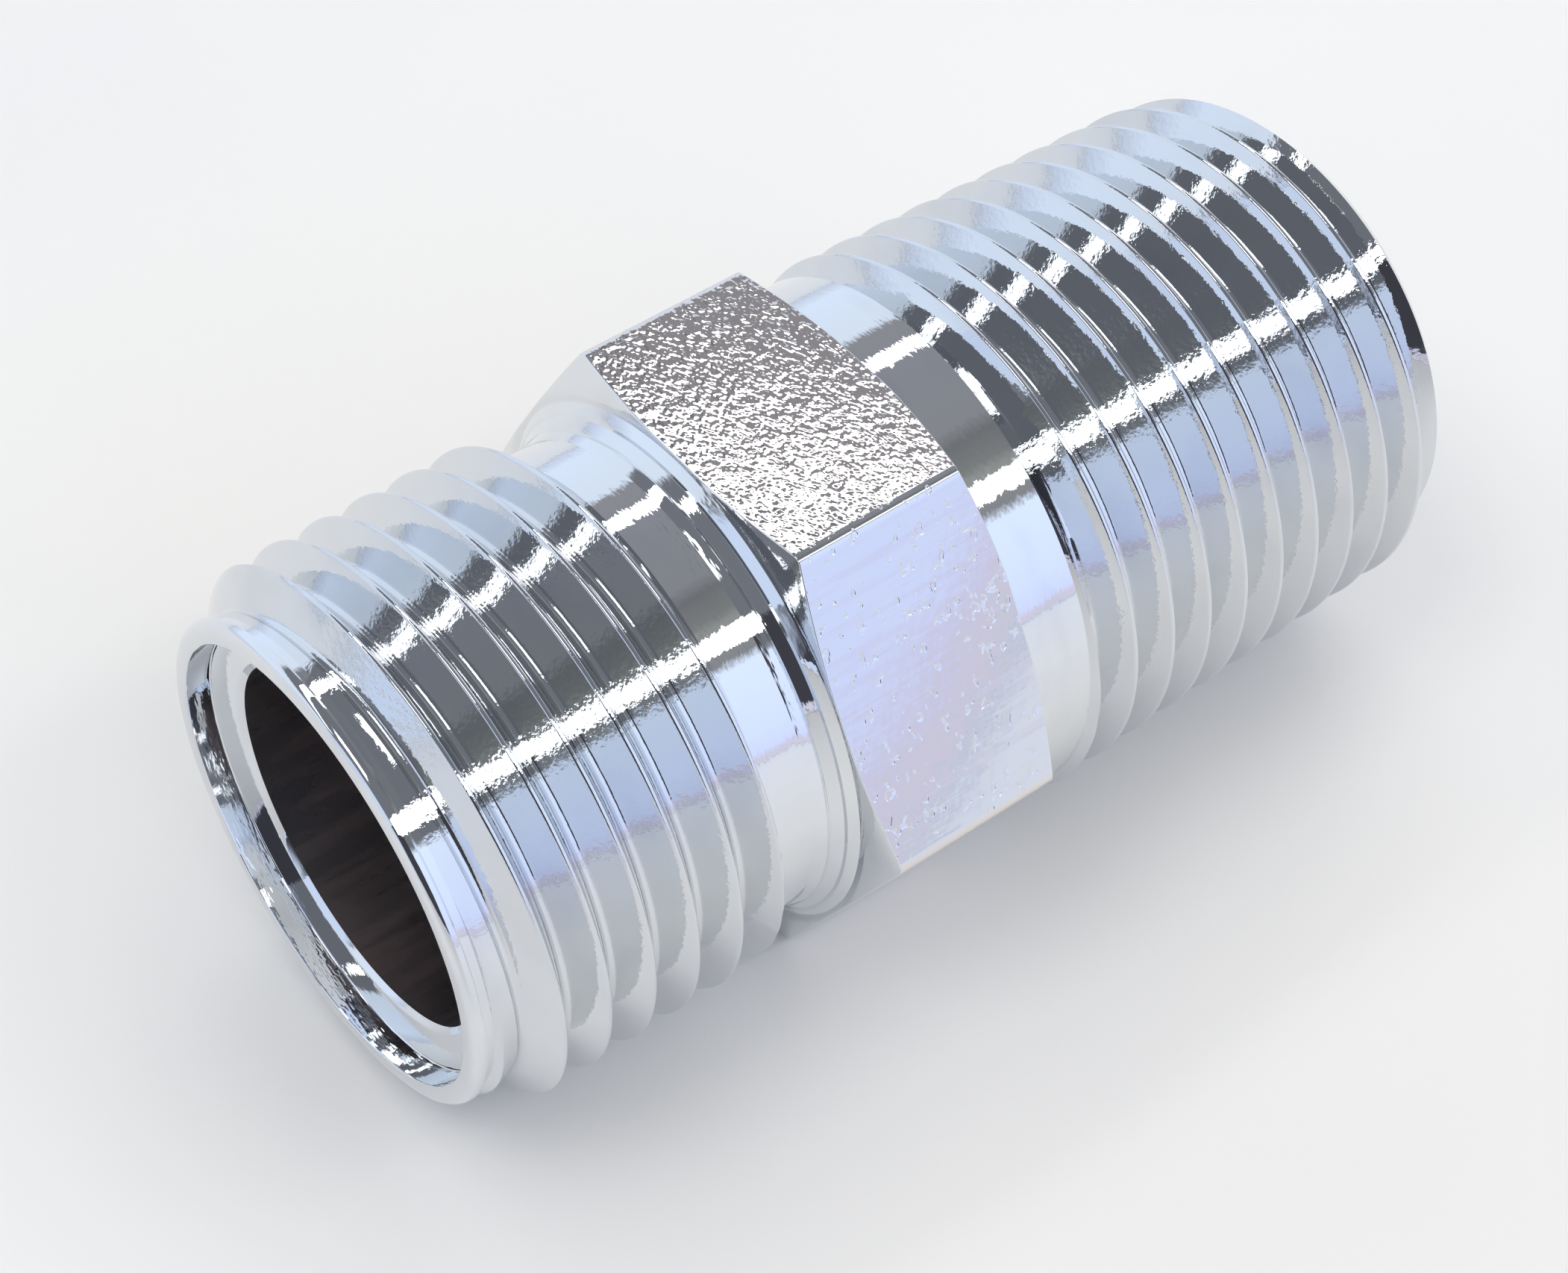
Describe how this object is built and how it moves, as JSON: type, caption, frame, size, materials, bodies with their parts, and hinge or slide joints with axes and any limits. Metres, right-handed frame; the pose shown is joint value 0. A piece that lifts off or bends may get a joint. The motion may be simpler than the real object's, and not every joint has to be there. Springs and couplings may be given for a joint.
{
  "type": "hex nipple",
  "caption": "Straight male-to-male pipe fitting with a hexagon between a parallel and a taper pipe thread, and a counterbored nose.",
  "frame": {"origin": "on the axis of the bore, in the middle of the hexagon's thickness", "axes": "+X along the bore towards the taper thread, -X towards the counterbored nose; +Z square to the upper flat of the hexagon"},
  "size_m": [0.0438, 0.0242, 0.0214],
  "materials": {
    "chrome": "bright chrome plate over turned brass, the flats as drawn"
  },
  "bodies": {
    "root": {"nipple_body": "chrome"}
  },
  "joints": []
}
